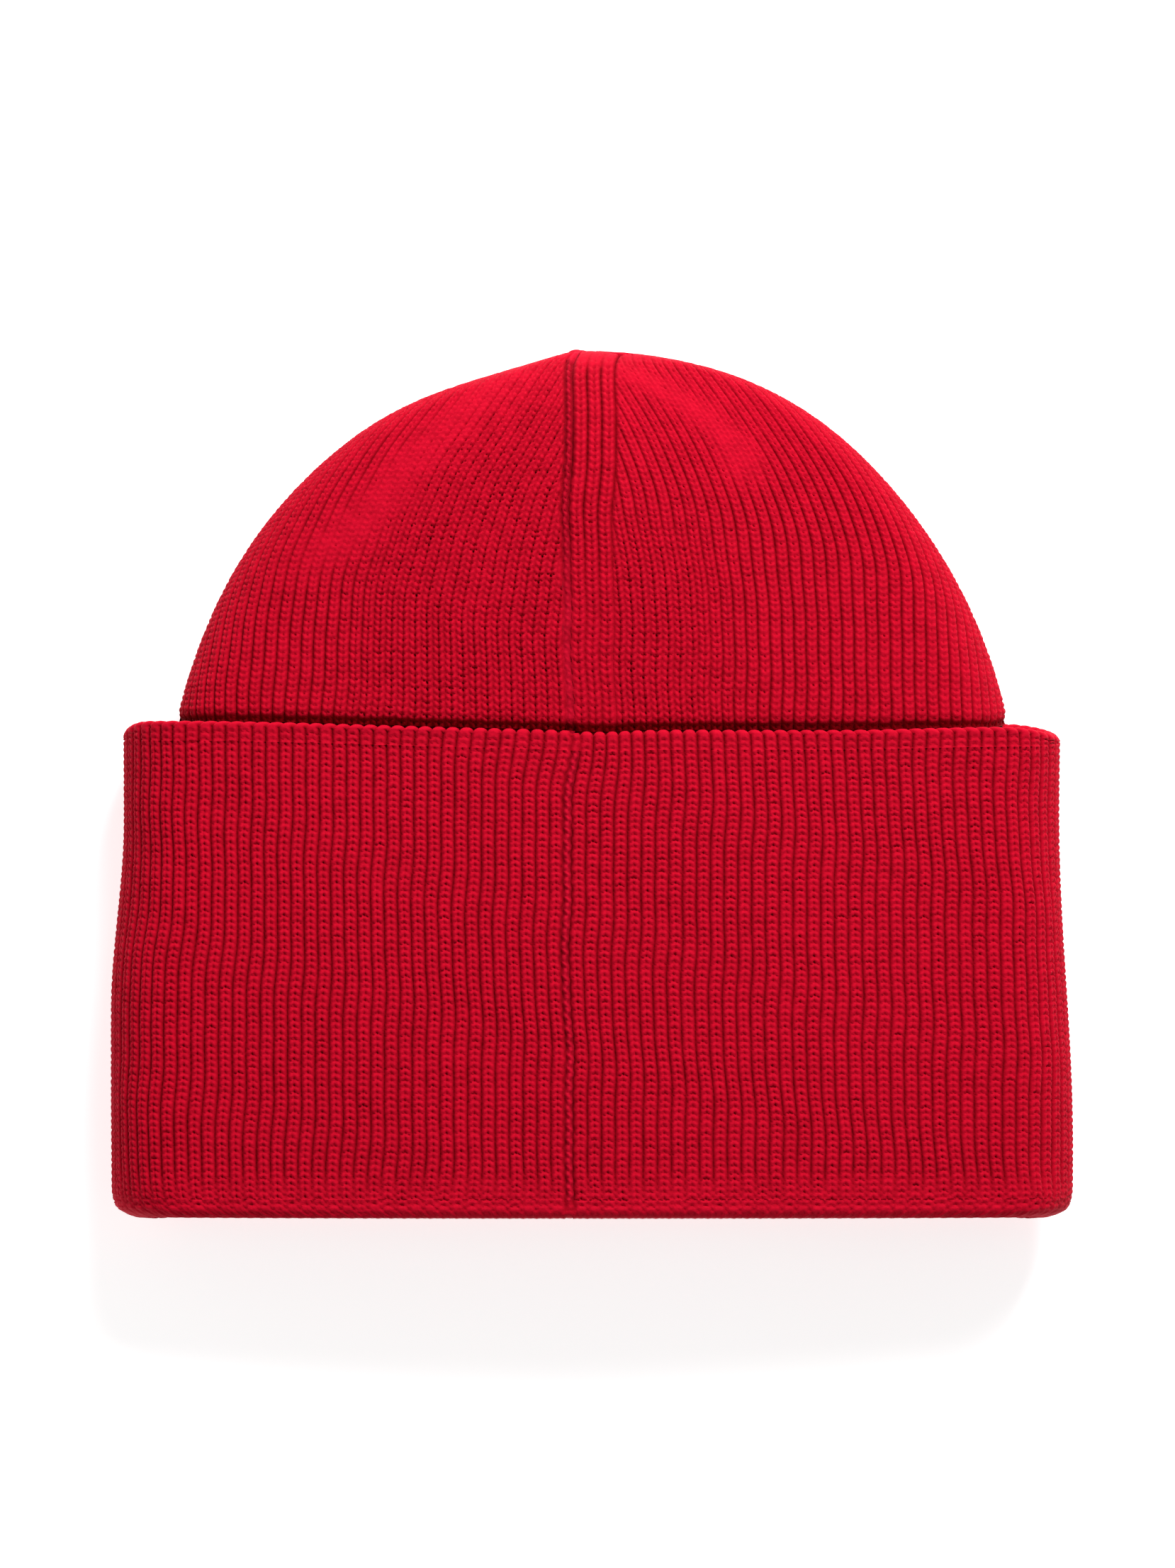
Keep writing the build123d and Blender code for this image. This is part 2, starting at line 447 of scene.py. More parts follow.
def wallKnots(skin, y):
    # rib numbers at the seam, left side, front's centre, right side, border and seam again
    arcs = ringRow(skin(y), 8)[2][1:]
    knots = np.concatenate([[0.0], np.cumsum(arcs)]) / arcs.sum() * hat["ribs"]
    knots[1], knots[3] = round(knots[1]), round(knots[3])
    return knots


def foldOpening(points):
    return 1 - smooth(*wallLook["openFrom"], points[..., 1] - mouthY)


def cuffLook(ribs, courses, points):
    opening = foldOpening(points)
    stitch = smooth(0.2, 2.8, cuffTopY - points[..., 1]) * smooth(1.0, 4.0, points[..., 1] - mouthY)
    beside = besideSeam(points, 2.4) * (points[..., 2] > 20.0)
    depth = wallLook["cuffDepth"] * (1.0 - 0.45 * opening) * (1 - beside)
    height = knitHeight(ribs, courses, depth, stitch, opening, lean=-1.0, cleft=1.2)
    fromSeam = np.minimum(np.abs(ribs), hat["ribs"] - ribs) * hat["ribPitch"]
    return toValley(height, fromSeam, wallLook["cuffValley"])


def bandLook(ribs, courses, points):
    height = knitHeight(ribs, courses, wallLook["bandDepth"], wallLook["bandStitch"])
    return height - tuck(points[..., 1] - cuffTopY)


def wallPiece(name, skin, look, course, ribs, knots, bottomY, topY, spacing):
    path = wallPath(bottomY, topY, spacing, wallLook["backRow"])
    table, tableNormals, arcs = tableOf(skin, path)
    across = wallLook["fineColumns"] if spacing < wallLook["coarseFrom"] else wallLook["coarseColumns"]
    columns = np.linspace(ribs[0], ribs[1], max(2, round((ribs[1] - ribs[0]) * across)) + 1)
    where = np.broadcast_to(np.interp(columns, knots, [1, 2, 3, 4, 5, 6]), (len(path), len(columns)))
    points, normals = lookUp(table, where), lookUp(tableNormals, where)
    ribGrid = np.broadcast_to(columns, where.shape)
    courseGrid = coursesOf(path, course, where.shape)
    height = look(ribGrid, courseGrid, points)
    onCuff = skin is cuffSkin
    plain = foldOpening(points) * (0.85 if onCuff else 0.0)
    if onCuff:
        points[..., 0] += seamLean(points)
    points[..., 1] -= edgeSag(points, onCuff)
    inside = 0.6 * knitHeight(ribGrid + 0.5, courseGrid, 1.0, 0.0)
    knitPiece(name, settle(points, normals, path, height, inside), ribGrid, courseGrid, height, plain)


def seamLook(ribs, courses):
    # slanted links in a groove: ribs runs from -1 to 1 across the seam
    loop = np.sqrt(np.clip(1 - (ribs / 0.66) ** 2, 0, 1))
    return -1.05 + loop * (0.20 + 0.70 * beadOf(courses + 0.35 * ribs))


def seamPiece(name, skin, course, bottomY, topY, spacing, across=10):
    path = wallPath(bottomY, topY, spacing, spacing * 3)
    table, tableNormals, arcs = tableOf(skin, path)
    columns = np.linspace(0, 1, across + 1)
    where = np.broadcast_to(columns, (len(path), len(columns)))
    ribGrid = np.broadcast_to(1 - 2 * columns, where.shape)
    courseGrid = coursesOf(path, course, where.shape)
    points = lookUp(table, where)
    height = seamLook(ribGrid, courseGrid)
    if skin is cuffSkin:
        points[..., 0] += seamLean(points)
    points[..., 1] -= edgeSag(points, skin is cuffSkin)
    knitPiece(name, settle(points, lookUp(tableNormals, where), path, height), ribGrid, courseGrid, height)


cuffKnots = wallKnots(cuffSkin, 0.5 * (wallBottom + wallTop))
for side, (first, last) in sides.items():
    spacing = wallLook["coarseRow"] if side == "Front" else fine
    ribs = cuffKnots[first], cuffKnots[last]
    wallPiece("cuff" + side, cuffSkin, cuffLook, cuff["course"], ribs, cuffKnots, wallBottom, wallTop, spacing)
seamPiece("cuffSeam", cuffSkin, cuff["course"], wallBottom, wallTop, fine)
bandKnots = wallKnots(bandSkin, 0.5 * (band["bottomY"] + cuffTopY))
for side, (first, last) in sides.items():
    ribs = bandKnots[first], bandKnots[last]
    wallPiece("band" + side, bandSkin, bandLook, band["course"], ribs, bandKnots, band["bottomY"], cuffTopY,
              wallLook["coarseRow"])
seamPiece("bandSeam", bandSkin, cuff["course"], band["bottomY"], cuffTopY, wallLook["bandSeamRow"])
print("walls done")

# crown: every rib is followed from the cuff to the seam, or over the side to the front
slant = {
    # height where the seam starts to cut into the ribs, width of ribs it has cut off by the tip,
    # how late that comes, and how much steeper the ribs lean beside the outline
    "left": (15.0, 29.0, 2.25, 0.9),
    "right": (20.0, 24.0, 2.5, 1.0),
    "frontGather": 1.04,
}
crownKnit = {
    "columns": 8,                # to each rib
    "frontColumns": 6,
    "frontRow": 0.8,
    "backRow": 4.0,
    "depth": 0.88,
    "stitch": 0.92,
    "close": 0.9,                # how close the stitches stand in the middle
    "closeLeft": (0.38, 0.62),   # where that ends: share of the way to the outline on the left,
    "closeRight": (18.0, 42.0),  # and x and height on the right
    "closeUp": (34.0, 62.0),
    "valley": (-0.60, -0.50),    # height at which the pieces meet at the seam, and its change further up
    "calm": 0.8,                 # how flat the pulled bands are
    "thinner": {"left": 0.10, "right": 0.35},     # grooves get shallower towards the tip
    "borderRibs": 3.0,
    "borderColumns": 30,
    "seamColumns": 10,
    "tipGap": 0.12,
}


def crownField(side, h, backArc, frontArc):
    # for each row: rib number at the seam and at the outline, and the last one on the front
    start, cut, power, fan = slant[side]
    seam = cut / crown["pitch"] * np.clip((h - start) / (crownReach - start), 0, 1) ** power
    out = seam * (1 + fan * backArc / backArc[0, 0]) + backArc / crown["pitch"] + 0.02
    return seam, out, out + frontArc * slant["frontGather"] / crown["pitch"]


# bands where the ribs are pulled flat and the cloth shines: straight on the left, bowed on the right
pulled = {
    "leftHeight": 107.6,         # of the band's line above the cuff, where it would cross the middle
    "leftWidth": 8.5,
    "leftFrom": (30.0, 46.0),    # heights over which the band comes in
    "bowX": (5.9, 32.0),         # place of its two ends, and how far it bows out between them
    "bowHeight": (60.2, 28.3),   # height of its middle, and half its length
    "rightWidth": 5.5,
    "rightFrom": (54.0, 66.0),
}


def calm(side, x, h):
    if side == "left":
        along = (h - x - pulled["leftHeight"]) / pulled["leftWidth"]
        return np.exp(-along ** 2) * smooth(*pulled["leftFrom"], h)
    endX, bow = pulled["bowX"]
    middleHeight, half = pulled["bowHeight"]
    middle = endX + bow * (1 - ((h - middleHeight) / half) ** 2)
    return np.exp(-((x - middle) / pulled["rightWidth"]) ** 2) * smooth(*pulled["rightFrom"], h)


def closeKnit(side, x, share, h):
    # where the stitches stand close and the grooves between the ribs hardly show
    if side == "left":
        return crownKnit["close"] * (1 - smooth(*crownKnit["closeLeft"], share))
    across, up = smooth(*crownKnit["closeRight"], x), smooth(*crownKnit["closeUp"], h)
    return crownKnit["close"] * (1 - across) * (1 - up)


def valley(h):
    low, change = crownKnit["valley"]
    return low + change * smooth(20.0, 60.0, h)


def placeOf(side, kept, seam, out, last):
    # share of the way from the seam to the outline, and the place round the ring from 0 to 6
    share = (kept - seam) / (out - seam)
    beyond = np.clip((kept - out) / (last - out), 0, 1)
    travel = np.where(kept <= out, np.clip(share, 0, 1), 1 + beyond)
    return share, 1 + travel if side == "left" else 5 - travel


def crownColumns(side, path, table, arcs, columns):
    # height, rib and course of every row and column before trimming, and the field's three limits
    h = np.clip((path[:, 0] - cuffTopY) * crownReach / (crownReach - path[:, 1]), 0, crownReach)[:, None]
    back, front = (1, 2) if side == "left" else (4, 3)
    seam, out, last = crownField(side, h, arcs[:, back][:, None], arcs[:, front][:, None])
    kept = np.clip(columns[None, :], seam, last)
    points = lookUp(table, placeOf(side, kept, seam, out, last)[1])
    climb = np.linalg.norm(np.diff(points, axis=0), axis=-1)
    outerRows = int(np.argmax(path[:, 1] > 0))
    course = np.concatenate([np.zeros((1, climb.shape[1])), np.cumsum(climb, axis=0)])
    for k in range(outerRows, len(path)):
        course[k] = course[np.argmin(np.abs(h[:outerRows, 0] - h[k, 0]))]
    return h, kept, course / crown["course"], (seam, out, last)


def crownLook(side, kept, course, share, h, points, seam):
    back = share < 1.02
    flat = crownKnit["calm"] * calm(side, points[..., 0], h) * back
    close = closeKnit(side, points[..., 0], share, h) * back
    fade = smooth(0.3, 4.0, crownReach - h)
    beside = besideSeam(points, 3.0) * (1 - smooth(35.0, 75.0, h)) * back
    depth = crownKnit["depth"] * (1 - 0.40 * close) * (1 - 0.9 * flat) * (1 - beside)
    depth = depth * (1 - crownKnit["thinner"][side] * smooth(45.0, 85.0, h))
    stitch = (crownKnit["stitch"] + 0.42 * close - 0.45 * flat) * (0.3 + 0.7 * fade)
    height = knitHeight(kept, course, depth * (0.35 + 0.65 * fade), stitch, cleft=1 + 0.5 * close) - 0.1
    height = toValley(height, (kept - seam) * crown["pitch"], valley(h))
    return height - tuck(h), np.clip(flat * 1.2 + 0.5 * close, 0, 1)


def crownPath(spacing):
    wall = hat["wall"]
    tip = cuffTopY + crownReach - crownKnit["tipGap"]
    innerTip = cuffTopY + (crownReach - wall) * 0.995
    return rowPath((cuffTopY, 0, tip, 0, spacing), (tip, 0, innerTip, wall, 1.5),
                   (innerTip, wall, cuffTopY, wall, crownKnit["backRow"]), (cuffTopY, wall, cuffTopY, 0, 1.0))


def crownPiece(name, spans, region, spacing, across):
    # region is back or front; each side named in spans gets its own run of columns
    path = crownPath(spacing)
    table, tableNormals, arcs = tableOf(crownSkin, path)
    pitch = crown["pitch"]
    blocks = []
    for side in spans:
        back, front = (1, 2) if side == "left" else (4, 3)
        first, final = 0.0, arcs[0, back] / pitch      # rib numbers where the cuff ends
        if region == "front":
            first, final = slant[side][1] / pitch - 0.5, final + arcs[0, front] * slant["frontGather"] / pitch
        columns = np.linspace(first, final, round((final - first) * across) + 1)
        h, kept, course, (seam, out, last) = crownColumns(side, path, table, arcs, columns)
        low, high = (seam, out) if region == "back" else (out, last)
        trimmed = np.clip(kept, low, high)
        order = np.arange(len(columns)) * 1e-9    # keeps equal ribs in order for the look-up
        course = np.stack([np.interp(trimmed[k], kept[k] + order, course[k]) for k in range(len(path))])
        share, where = placeOf(side, trimmed, seam, out, last)
        points = lookUp(table, where)
        height, plain = crownLook(side, trimmed, course, share, h, points, seam)
        block = [points, lookUp(tableNormals, where), height, trimmed, course, plain]
        blocks.append([b[:, ::-1] for b in block] if side == "right" else block)
    points, normals, height, ribs, courses, plain = [
        np.concatenate([b[k] for b in blocks], axis=1) for k in range(6)]
    points[..., 1] -= edgeSag(points, False)
    knitPiece(name, settle(points, normals, path, height), ribs, courses, height, plain)


def crownStrip(name, first, last, look, across):
    # straight columns beside the seam, or the seam itself
    path = crownPath(fine)
    table, tableNormals, arcs = tableOf(crownSkin, path)
    columns = np.linspace(0, 1, across + 1)
    where = np.broadcast_to(first + (last - first) * columns, (len(path), len(columns)))
    points = lookUp(table, where)
    h = np.broadcast_to(path[:, :1] - cuffTopY, where.shape)
    ribs, courses, height = look(np.broadcast_to(columns, where.shape), h)
    points[..., 1] -= edgeSag(points, False)
    knitPiece(name, settle(points, lookUp(tableNormals, where), path, height), ribs, courses, height)


def borderLook(columns, h):
    ribs, courses = columns * crownKnit["borderRibs"], h / crown["course"]
    fade = smooth(0.3, 6.0, crownReach - h)
    height = knitHeight(ribs, courses, (0.60 + 0.40 * smooth(20.0, 60.0, h)) * fade, fade, cleft=1.4) - 0.1
    height = toValley(height, np.minimum(columns, 1 - columns) * hat["borderWidth"], valley(h))
    return ribs, courses, height - tuck(h)


def crownSeamLook(columns, h):
    ribs, courses = 1 - 2 * columns, h / crown["course"]
    deeper = 0.6 + 0.6 * smooth(15.0, 60.0, h)
    links = seamLook(ribs, courses) * deeper - 0.35
    height = toValley(links, (1 - np.abs(ribs)) * hat["seamHalf"], valley(h) - 0.1)
    return ribs, courses, height * smooth(0.0, 3.0, crownReach - h) - tuck(h)


crownPiece("crownBackLeft", ["left"], "back", fine, crownKnit["columns"])
crownPiece("crownBackRight", ["right"], "back", fine, crownKnit["columns"])
crownPiece("crownFront", ["left", "right"], "front", crownKnit["frontRow"], crownKnit["frontColumns"])
crownStrip("crownBorder", 5, 6, borderLook, crownKnit["borderColumns"])
crownStrip("crownSeam", 0, 1, crownSeamLook, crownKnit["seamColumns"])
print("crown done")

# rounded rims of the cuff, each one ring that takes the seam's strip in
rim = {
    "seamRibs": 0.65,            # width of the seam's strip counted in ribs
    "seamColumns": [-0.65, -0.5, -0.32, -0.14],
    "columns": 7,                # to each rib
    "weltRounding": 1.1,
    "weltCorners": ((-1, 8.0, 3.4), (1, 15.0, 4.4)),   # side, width and drop of each upper corner
    "foldRounding": 2.2,
    "foldLevel": -0.55,
}


def rimSeam(ribs, courses):
    half = 0.5 * rim["seamRibs"]
    return seamLook((ribs + half) / half, courses)


def rimPiece(name, path, look):
    table, tableNormals, arcs = tableOf(cuffSkin, path)
    knots = np.concatenate([[-rim["seamRibs"]], cuffKnots])
    columns = np.linspace(0, hat["ribs"], hat["ribs"] * rim["columns"] + 1)
    columns = np.concatenate([rim["seamColumns"], columns])
    where = np.broadcast_to(np.interp(columns, knots, [0, 1, 2, 3, 4, 5, 6]), (len(path), len(columns)))
    points, normals = lookUp(table, where), lookUp(tableNormals, where)
    ribGrid = np.broadcast_to(columns, where.shape)
    courseGrid = coursesOf(path, cuff["course"], where.shape)
    points, height = look(ribGrid, courseGrid, points, path)
    waves = np.clip(1 - path[:, 1:] / 1.5, 0, 1) * clothWave(points)
    moved = points + normals * (height + waves)[..., None]
    moved[..., 0] += wander(points)
    moved[-1] = moved[0]
    moved[:, 0] = moved[:, -1]
    knitPiece(name, moved, ribGrid, courseGrid, height, 0.85 * foldOpening(points))


def weltLook(ribs, courses, points, path):
    # smooth, rounded rib ends
    crest = ribCrest(ribs)
    outer = np.clip(1 - path[:, 1:] / hat["skinDepth"], 0, 1)
    top = 1 - smooth(0.0, 5.0, cuffTopY - path[:, :1])
    height = outer * cuffLook(ribs, courses, points) - (1 - outer) * (1 - crest) * 0.8
    height = np.where(ribs < 0, rimSeam(ribs, courses) * outer - 0.5 * (1 - outer), height)
    points = points.copy()
    points[..., 0] += seamLean(points)
    points[..., 1] -= (1 - crest) * 0.3 * top + edgeSag(points)
    for side, wide, drop in rim["weltCorners"]:
        past = np.clip((points[..., 0] * side - cuff["topHalf"] + wide) / wide, 0, 0.98)
        points[..., 1] -= drop * (1 - np.sqrt(1 - past * past)) * top
    return points, height


def foldLook(ribs, courses, points, path):
    # the ribs end in an even mesh of stretched stitches where the cloth rolls under
    crest = ribCrest(ribs)
    below = np.clip((wallBottom - path[:, :1]) / hat["foldHeight"], 0, 1)
    outer = np.clip(1 - path[:, 1:] / 3.0, 0, 1)
    spikes = cuffLook(ribs, courses, points)
    mesh = np.cos(4 * math.pi * ribs) * (0.10 + 0.10 * np.cos(2 * math.pi * courses))
    plain = 0.08 * np.cos(2 * math.pi * ribs) + rim["foldLevel"] + mesh
    mixed = spikes + (plain - spikes) * smooth(0.48, 0.72, below)
    height = np.where(outer > 0, mixed * outer - 0.35 * (1 - outer), -0.35 + 0.25 * (crest - 1))
    seam = rimSeam(ribs, courses) * (1 - below) + np.minimum(height, -0.7) * below
    height = np.where((ribs < 0) & (outer > 0), seam, height)
    points = points.copy()
    underneath = 1 - smooth(9.0, 20.0, points[..., 2])
    points[..., 1] -= hat["frontDrop"] * underneath * smooth(0.0, 0.9, below)
    return points, height


rounding = rim["weltRounding"]
straight = cuffTopY - rounding - wallTop
weltPath = [(wallTop + straight * k / 9, 0.0) for k in range(9)]
weltPath += [(cuffTopY - rounding + rounding * math.sin(a), hat["wall"] * (1 - math.cos(a)) / 2)
             for a in np.linspace(0, math.pi, 9)]
weltPath += [(wallTop + straight * k / 2, hat["wall"]) for k in (1, 0)]
weltPath += [(wallTop, hat["wall"] / 2), (wallTop, 0.0)]
rimPiece("cuffWelt", np.array(weltPath), weltLook)

foldIn = band["bottom"] + hat["wall"]
rounding = rim["foldRounding"]
turn = np.linspace(0, math.pi / 2, 8)
foldPath = [(wallBottom - (wallBottom - mouthY - rounding) * k / 7, 0.0) for k in range(7)]
foldPath += [(mouthY + rounding - rounding * math.sin(a), rounding * (1 - math.cos(a))) for a in turn]
foldPath += [(mouthY + rounding - rounding * math.cos(a), foldIn - rounding + rounding * math.sin(a))
             for a in turn]
foldPath += [(wallBottom, foldIn * share) for share in (1.0, 0.6, 0.25, 0.0)]
rimPiece("cuffFold", np.array(foldPath[::-1]), foldLook)
print("rims done")

# small blank label inside, sewn down at its two short ends
label = {
    "under": 0.7,                # from the band's inside face to the label's outside
    "bulge": 0.45,               # how far its middle hangs away from the band
    "thickness": 0.45,
    "stitchUnder": 1.15,
    "stitchRadius": 0.32,
    "stitchHalfLength": 1.1,
    "stitchInset": 1.0,
    "stitchesPerEnd": 6,
}
labelMiddle = [0.5 * (a + b) for a, b in zip(labelLow, labelHigh)]
labelWidth, labelLength = labelHigh[0] - labelLow[0], labelHigh[1] - labelLow[1]


def underBand(x, y):
    # height of the band's inside face over a point
    back = halfSection(*bandSkin(y, hat["wall"])[1:4])[0]
    return np.interp(abs(x), back[:, 0], back[:, 1])


careLabel = newGrid("careLabel", 24, 16, 1)
for v in careLabel.data.vertices:
    x, y = labelMiddle[0] + v.co.x * labelWidth, labelMiddle[1] + v.co.y * labelLength
    free = 1 - (2 * v.co.x) ** 2
    bulge = label["bulge"] * free * (1 + 0.4 * math.sin(v.co.x * 5 + v.co.y * 4))
    v.co = Vector((x, y, underBand(x, y) - label["under"] - bulge)) * mm
bpy.ops.object.modifier_add(type="SOLIDIFY")
careLabel.modifiers["Solidify"].thickness = label["thickness"] * mm
careLabel.modifiers["Solidify"].offset = -1
bpy.ops.object.modifier_apply(modifier="Solidify")
bpy.ops.object.shade_smooth_by_angle(angle=math.radians(50))
made["careLabel"] = careLabel

bpy.ops.object.select_all(action="DESELECT")
bars = []
for side in (-1, 1):
    x = labelMiddle[0] + side * (labelWidth / 2 - label["stitchInset"])
    for k in range(label["stitchesPerEnd"]):
        y = labelLow[1] + (k + 0.5) * labelLength / label["stitchesPerEnd"]
        z = underBand(x, y) - label["stitchUnder"]
        bpy.ops.mesh.primitive_uv_sphere_add(segments=10, ring_count=6, radius=1)
        bar = bpy.context.object
        thick, long = label["stitchRadius"], label["stitchHalfLength"]
        for v in bar.data.vertices:
            v.co = Vector((x + v.co.x * thick, y + v.co.y * long, z + v.co.z * thick)) * mm
        bars.append(bar)
for bar in bars:
    bar.select_set(True)
bpy.ops.object.join()
labelStitches = bpy.context.object
labelStitches.name = labelStitches.data.name = "labelStitches"
bpy.ops.object.shade_smooth()
made["labelStitches"] = labelStitches

# inside, the seam's raw edge stands up as a flat ridge of knit
ridge = {"half": 2.4, "rise": 0.95, "bump": 0.12, "under": 1.0, "row": 0.8, "columns": 19, "tipGap": 5.0}


def selvedge(name, skin, low, high):
    piece = newGrid(name, ridge["columns"], round((high - low) / ridge["row"]), 1)
    for v in piece.data.vertices:
        y = low + (v.co.y + 0.5) * (high - low)
        halfLeft, halfRight, bottom, top, shift, seamX = skin(y, hat["wall"])
        turn = (v.co.x + 0.5) * 2 * math.pi
        rise = ridge["rise"] + ridge["bump"] * math.cos(y * 3.6 + 2 * math.cos(turn))
        x = seamX + min(ridge["half"], 0.4 * halfLeft) * math.sin(turn)
        back = halfSection(halfLeft, bottom, top, 12)[0]
        z = np.interp(abs(x), back[:, 0], back[:, 1]) - ridge["under"] + rise * math.cos(turn)
        v.co = Vector((x, y, z)) * mm
    closeShell(70)
    made[name] = piece


selvedge("bandSelvedge", bandSkin, band["bottomY"], cuffTopY)
selvedge("crownSelvedge", crownSkin, cuffTopY, cuffTopY + crownReach - ridge["tipGap"])

# the yarn that closes the crown is finished in a small knot at the tip
nub = {"across": 2.8, "along": 1.7, "deep": 2.2, "sink": 0.9}
bpy.ops.object.select_all(action="DESELECT")
bpy.ops.mesh.primitive_uv_sphere_add(segments=40, ring_count=24, radius=1)
tipStitch = bpy.context.object
tipStitch.name = tipStitch.data.name = "tipStitch"
nubMiddle = [0.5 * (a + b) for a, b in zip(nubLow, nubHigh)]
for v in tipStitch.data.vertices:
    turn = math.atan2(v.co.y, v.co.x)
    swell = 1 + 0.10 * math.sin(3 * turn + 4.0 * v.co.z) - 0.12 * abs(math.sin(1.5 * turn + 3.0 * v.co.z))
    v.co = Vector((nubMiddle[0] + v.co.x * nub["across"] * swell,
                   nubMiddle[1] - nub["sink"] + v.co.y * nub["along"] * swell,
                   nubMiddle[2] + v.co.z * nub["deep"])) * mm
bpy.ops.object.shade_smooth()
made["tipStitch"] = tipStitch
print("small parts done")

wool = {
    # the wool's red where the yarn stands high, and a darker red painted as shade where it lies low
    "bright": (0.575, 0.0030, 0.021, 1.0),
    "deep": (0.19, 0.0002, 0.0024, 1.0),
    "seamBright": (0.60, 0.0040, 0.026, 1.0),
    "seamPaintedShade": (0.13, 0.0001, 0.0015, 1.0),
    "groove": 0.15,              # extra shade at the bottom of the grooves
    "paintedShadeAt": -1.5,              # yarn heights that take the painted shade colour and the wool's red
    "brightAt": -0.1,
    "roughness": 0.78,
    "specular": 0.25,
    "specularTint": (1.0, 0.10, 0.16, 1.0),
    "sheen": 0.13,
    "sheenRoughness": 0.45,
    "sheenTint": (1.0, 0.06, 0.12, 1.0),
    "blotch": 260.0,
    "blotchSize": 0.9,
    "fibre": 900.0,
    "fibreBump": 0.5,
    "fibreHeight": 0.0004,
}
labelLook = {
    "tape": ((0.80, 0.79, 0.76, 1.0), 0.55),
    "thread": ((0.42, 0.004, 0.018, 1.0), 0.7),
}


def addNode(tree, kind, settings=None, inputs=None):
    new = tree.nodes.new(kind)
    for key, value in (settings or {}).items():
        setattr(new, key, value)
    for key, value in (inputs or {}).items():
        new.inputs[key].default_value = value
    return new


def colourSocket(sockets, name):
    return [s for s in sockets if s.type == "RGBA" and s.name == name][0]


def woolMaterial(name, bright, deep, groove):
    material = bpy.data.materials.new(name)
    material.use_nodes = True
    tree = material.node_tree
    link = tree.links.new
    shader = tree.nodes["Principled BSDF"]
    for key, value in (("Roughness", wool["roughness"]), ("Specular IOR Level", wool["specular"]),
                       ("Specular Tint", wool["specularTint"]), ("Sheen Weight", wool["sheen"]),
                       ("Sheen Roughness", wool["sheenRoughness"]), ("Sheen Tint", wool["sheenTint"])):
        shader.inputs[key].default_value = value
    place = addNode(tree, "ShaderNodeTexCoord")
    # painted shade: the colour darkens where the yarn lies low, in grooves, pits, seams and creases, broken up
    # by a fine blotch of random tone
    height = addNode(tree, "ShaderNodeAttribute", {"attribute_name": "yarnHeight"})
    span = addNode(tree, "ShaderNodeMapRange", None,
                   {"From Min": wool["paintedShadeAt"], "From Max": wool["brightAt"]})
    link(height.outputs["Fac"], span.inputs["Value"])
    blotch = addNode(tree, "ShaderNodeTexNoise", None,
                     {"Scale": wool["blotch"], "Detail": 4.0, "Roughness": 0.7})
    link(place.outputs["Object"], blotch.inputs["Vector"])
    shift = addNode(tree, "ShaderNodeMath", {"operation": "MULTIPLY_ADD"},
                    {1: wool["blotchSize"], 2: -0.5 * wool["blotchSize"]})
    link(blotch.outputs["Fac"], shift.inputs[0])
    # the purl groove between two ribs lies in shade, except where the cloth is pulled flat
    ribs = addNode(tree, "ShaderNodeAttribute", {"attribute_name": "ribCount"})
    plain = addNode(tree, "ShaderNodeAttribute", {"attribute_name": "calmCloth"})
    part = addNode(tree, "ShaderNodeMath", {"operation": "PINGPONG"}, {1: 0.5})
    link(ribs.outputs["Fac"], part.inputs[0])
    shade = addNode(tree, "ShaderNodeMapRange", {"interpolation_type": "SMOOTHSTEP"},
                    {"From Min": 0.03, "From Max": 0.19, "To Min": -groove, "To Max": 0.0})
    link(part.outputs["Value"], shade.inputs["Value"])
    kept = addNode(tree, "ShaderNodeMath", {"operation": "SUBTRACT"}, {0: 1.0})
    link(plain.outputs["Fac"], kept.inputs[1])
    shaded = addNode(tree, "ShaderNodeMath", {"operation": "MULTIPLY_ADD"})
    link(shade.outputs["Result"], shaded.inputs[0])
    link(kept.outputs["Value"], shaded.inputs[1])
    link(span.outputs["Result"], shaded.inputs[2])
    total = addNode(tree, "ShaderNodeMath", {"operation": "ADD", "use_clamp": True})
    link(shaded.outputs["Value"], total.inputs[0])
    link(shift.outputs["Value"], total.inputs[1])
    mix = addNode(tree, "ShaderNodeMix", {"data_type": "RGBA"})
    # painted shade: the deep colour goes where the yarn lies low
    colourSocket(mix.inputs, "A").default_value = deep
    colourSocket(mix.inputs, "B").default_value = bright
    link(total.outputs["Value"], mix.inputs["Factor"])
    link(colourSocket(mix.outputs, "Result"), shader.inputs["Base Color"])
    fibre = addNode(tree, "ShaderNodeTexNoise", None,
                    {"Scale": wool["fibre"], "Detail": 3.0, "Roughness": 0.6})
    link(place.outputs["Object"], fibre.inputs["Vector"])
    bump = addNode(tree, "ShaderNodeBump", None,
                   {"Strength": wool["fibreBump"], "Distance": wool["fibreHeight"]})
    link(fibre.outputs["Fac"], bump.inputs["Height"])
    link(bump.outputs["Normal"], shader.inputs["Normal"])
    return material


def plainMaterial(name, colour, roughness):
    material = bpy.data.materials.new(name)
    material.use_nodes = True
    shader = material.node_tree.nodes["Principled BSDF"]
    shader.inputs["Base Color"].default_value = colour
    shader.inputs["Roughness"].default_value = roughness
    return material


knitWool = woolMaterial("knitWool", wool["bright"], wool["deep"], wool["groove"])
seamWool = woolMaterial("seamWool", wool["seamBright"], wool["seamPaintedShade"], 0.0)
labelTape = plainMaterial("labelTape", *labelLook["tape"])
labelThread = plainMaterial("labelThread", *labelLook["thread"])

